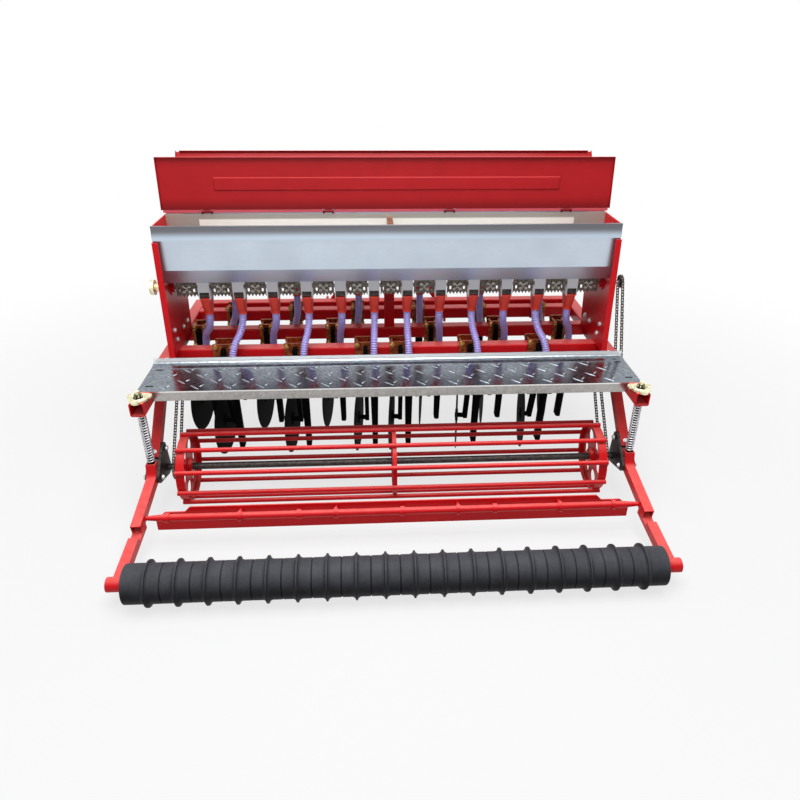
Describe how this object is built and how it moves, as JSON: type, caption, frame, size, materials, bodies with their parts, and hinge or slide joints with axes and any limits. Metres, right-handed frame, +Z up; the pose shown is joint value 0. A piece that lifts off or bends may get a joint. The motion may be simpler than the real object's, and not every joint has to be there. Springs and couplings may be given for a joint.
{
  "type": "mounted seed and fertiliser drill",
  "caption": "Rear-mounted seed and fertiliser drill with twin open box, disc openers, ground-drive cage wheel, step board and ribbed rubber press roller.",
  "frame": {"origin": "on the ground, under the middle of the machine's overall box", "axes": "+X to the machine's right-hand side, +Y in the direction of travel, +Z up"},
  "size_m": [2.1643, 1.8698, 1.4064],
  "materials": {
    "red_paint": "gloss",
    "dark_red_paint": "satin",
    "stainless_sheet": "satin",
    "galvanised_plate": "satin",
    "yellow_zinc": "satin",
    "bright_steel": "satin",
    "dark_steel": "satin",
    "black_paint": "satin",
    "disc_steel": "satin",
    "spring_steel": "satin",
    "orange_plastic": "matte",
    "lilac_hose": "matte",
    "black_rubber": "matte"
  },
  "bodies": {
    "frame": {"left_side_beam": "red_paint", "right_side_beam": "red_paint", "rear_toolbar": "red_paint", "middle_toolbar": "red_paint", "front_toolbar": "red_paint", "hitch_beam": "red_paint", "left_end_plate": "red_paint", "right_end_plate": "red_paint", "seed_bin": "stainless_sheet", "fertiliser_bin": "stainless_sheet", "box_post": "red_paint", "lid_hinges": "bright_steel", "seed_meters": "stainless_sheet", "fertiliser_meters": "stainless_sheet", "meter_shafts": "bright_steel", "funnels": "orange_plastic", "opener_legs": "black_paint", "opener_clamps": "yellow_zinc", "seed_boots": "black_paint", "fertiliser_knives": "black_paint", "seed_hoses": "lilac_hose", "fertiliser_hoses": "lilac_hose", "drive_chains": "dark_steel", "cross_shaft": "bright_steel", "shaft_hangers": "red_paint", "meter_sprockets": "dark_steel", "rate_knob": "yellow_zinc", "left_cage_arm": "red_paint", "right_cage_arm": "red_paint", "left_bearing_bracket": "dark_steel", "right_bearing_bracket": "dark_steel", "left_press_arm": "red_paint", "right_press_arm": "red_paint", "spring_rods": "bright_steel", "press_springs": "spring_steel", "spring_caps": "yellow_zinc", "step_board": "galvanised_plate", "levelling_board": "red_paint", "headstock": "red_paint", "lower_links": "red_paint"},
    "cage": {"cage_wheel": "red_paint", "cage_shaft": "bright_steel", "cage_sprockets": "dark_steel"},
    "press_roller": {"roller_core": "dark_steel", "roller_sleeve": "black_rubber"},
    "seed_lid": {"seed_lid": "dark_red_paint"},
    "fertiliser_lid": {"fertiliser_lid": "dark_red_paint"},
    "opener_disc_01": {"opener_disc_01": "disc_steel"},
    "opener_disc_02": {"opener_disc_02": "disc_steel"},
    "opener_disc_03": {"opener_disc_03": "disc_steel"},
    "opener_disc_04": {"opener_disc_04": "disc_steel"},
    "opener_disc_05": {"opener_disc_05": "disc_steel"},
    "opener_disc_06": {"opener_disc_06": "disc_steel"},
    "opener_disc_07": {"opener_disc_07": "disc_steel"},
    "opener_disc_08": {"opener_disc_08": "disc_steel"},
    "opener_disc_09": {"opener_disc_09": "disc_steel"},
    "opener_disc_10": {"opener_disc_10": "disc_steel"},
    "opener_disc_11": {"opener_disc_11": "disc_steel"},
    "opener_disc_12": {"opener_disc_12": "disc_steel"}
  },
  "joints": [
    {"name": "cage_spin", "type": "hinge", "parent": "frame", "child": "cage", "pos_m": [0, -0.214, 0.168], "axis": [1, 0, 0], "continuous": true},
    {"name": "press_roller_spin", "type": "hinge", "parent": "frame", "child": "press_roller", "pos_m": [0, -0.848, 0.087], "axis": [1, 0, 0], "continuous": true},
    {"name": "seed_lid_hinge", "type": "hinge", "parent": "frame", "child": "seed_lid", "pos_m": [0, 0.272, 1.179], "axis": [1, 0, 0], "range_deg": [0, 95]},
    {"name": "fertiliser_lid_hinge", "type": "hinge", "parent": "frame", "child": "fertiliser_lid", "pos_m": [0, 0.514, 1.179], "axis": [1, 0, 0], "range_deg": [0, 121]},
    {"name": "opener_disc_01_spin", "type": "hinge", "parent": "frame", "child": "opener_disc_01", "pos_m": [-0.9875, 0.422, 0.17], "axis": [0.9925, -0.1219, 0], "continuous": true},
    {"name": "opener_disc_02_spin", "type": "hinge", "parent": "frame", "child": "opener_disc_02", "pos_m": [-0.8225, 0.185, 0.17], "axis": [0.9925, -0.1219, 0], "continuous": true},
    {"name": "opener_disc_03_spin", "type": "hinge", "parent": "frame", "child": "opener_disc_03", "pos_m": [-0.6575, 0.422, 0.17], "axis": [0.9925, -0.1219, 0], "continuous": true},
    {"name": "opener_disc_04_spin", "type": "hinge", "parent": "frame", "child": "opener_disc_04", "pos_m": [-0.4925, 0.185, 0.17], "axis": [0.9925, -0.1219, 0], "continuous": true},
    {"name": "opener_disc_05_spin", "type": "hinge", "parent": "frame", "child": "opener_disc_05", "pos_m": [-0.3275, 0.422, 0.17], "axis": [0.9925, -0.1219, 0], "continuous": true},
    {"name": "opener_disc_06_spin", "type": "hinge", "parent": "frame", "child": "opener_disc_06", "pos_m": [-0.1625, 0.185, 0.17], "axis": [0.9925, -0.1219, 0], "continuous": true},
    {"name": "opener_disc_07_spin", "type": "hinge", "parent": "frame", "child": "opener_disc_07", "pos_m": [0.0025, 0.185, 0.17], "axis": [0.9925, -0.1219, 0], "continuous": true},
    {"name": "opener_disc_08_spin", "type": "hinge", "parent": "frame", "child": "opener_disc_08", "pos_m": [0.1675, 0.422, 0.17], "axis": [0.9925, -0.1219, 0], "continuous": true},
    {"name": "opener_disc_09_spin", "type": "hinge", "parent": "frame", "child": "opener_disc_09", "pos_m": [0.3325, 0.185, 0.17], "axis": [0.9925, -0.1219, 0], "continuous": true},
    {"name": "opener_disc_10_spin", "type": "hinge", "parent": "frame", "child": "opener_disc_10", "pos_m": [0.4975, 0.422, 0.17], "axis": [0.9925, -0.1219, 0], "continuous": true},
    {"name": "opener_disc_11_spin", "type": "hinge", "parent": "frame", "child": "opener_disc_11", "pos_m": [0.6625, 0.185, 0.17], "axis": [0.9925, -0.1219, 0], "continuous": true},
    {"name": "opener_disc_12_spin", "type": "hinge", "parent": "frame", "child": "opener_disc_12", "pos_m": [0.8275, 0.422, 0.17], "axis": [0.9925, -0.1219, 0], "continuous": true}
  ]
}
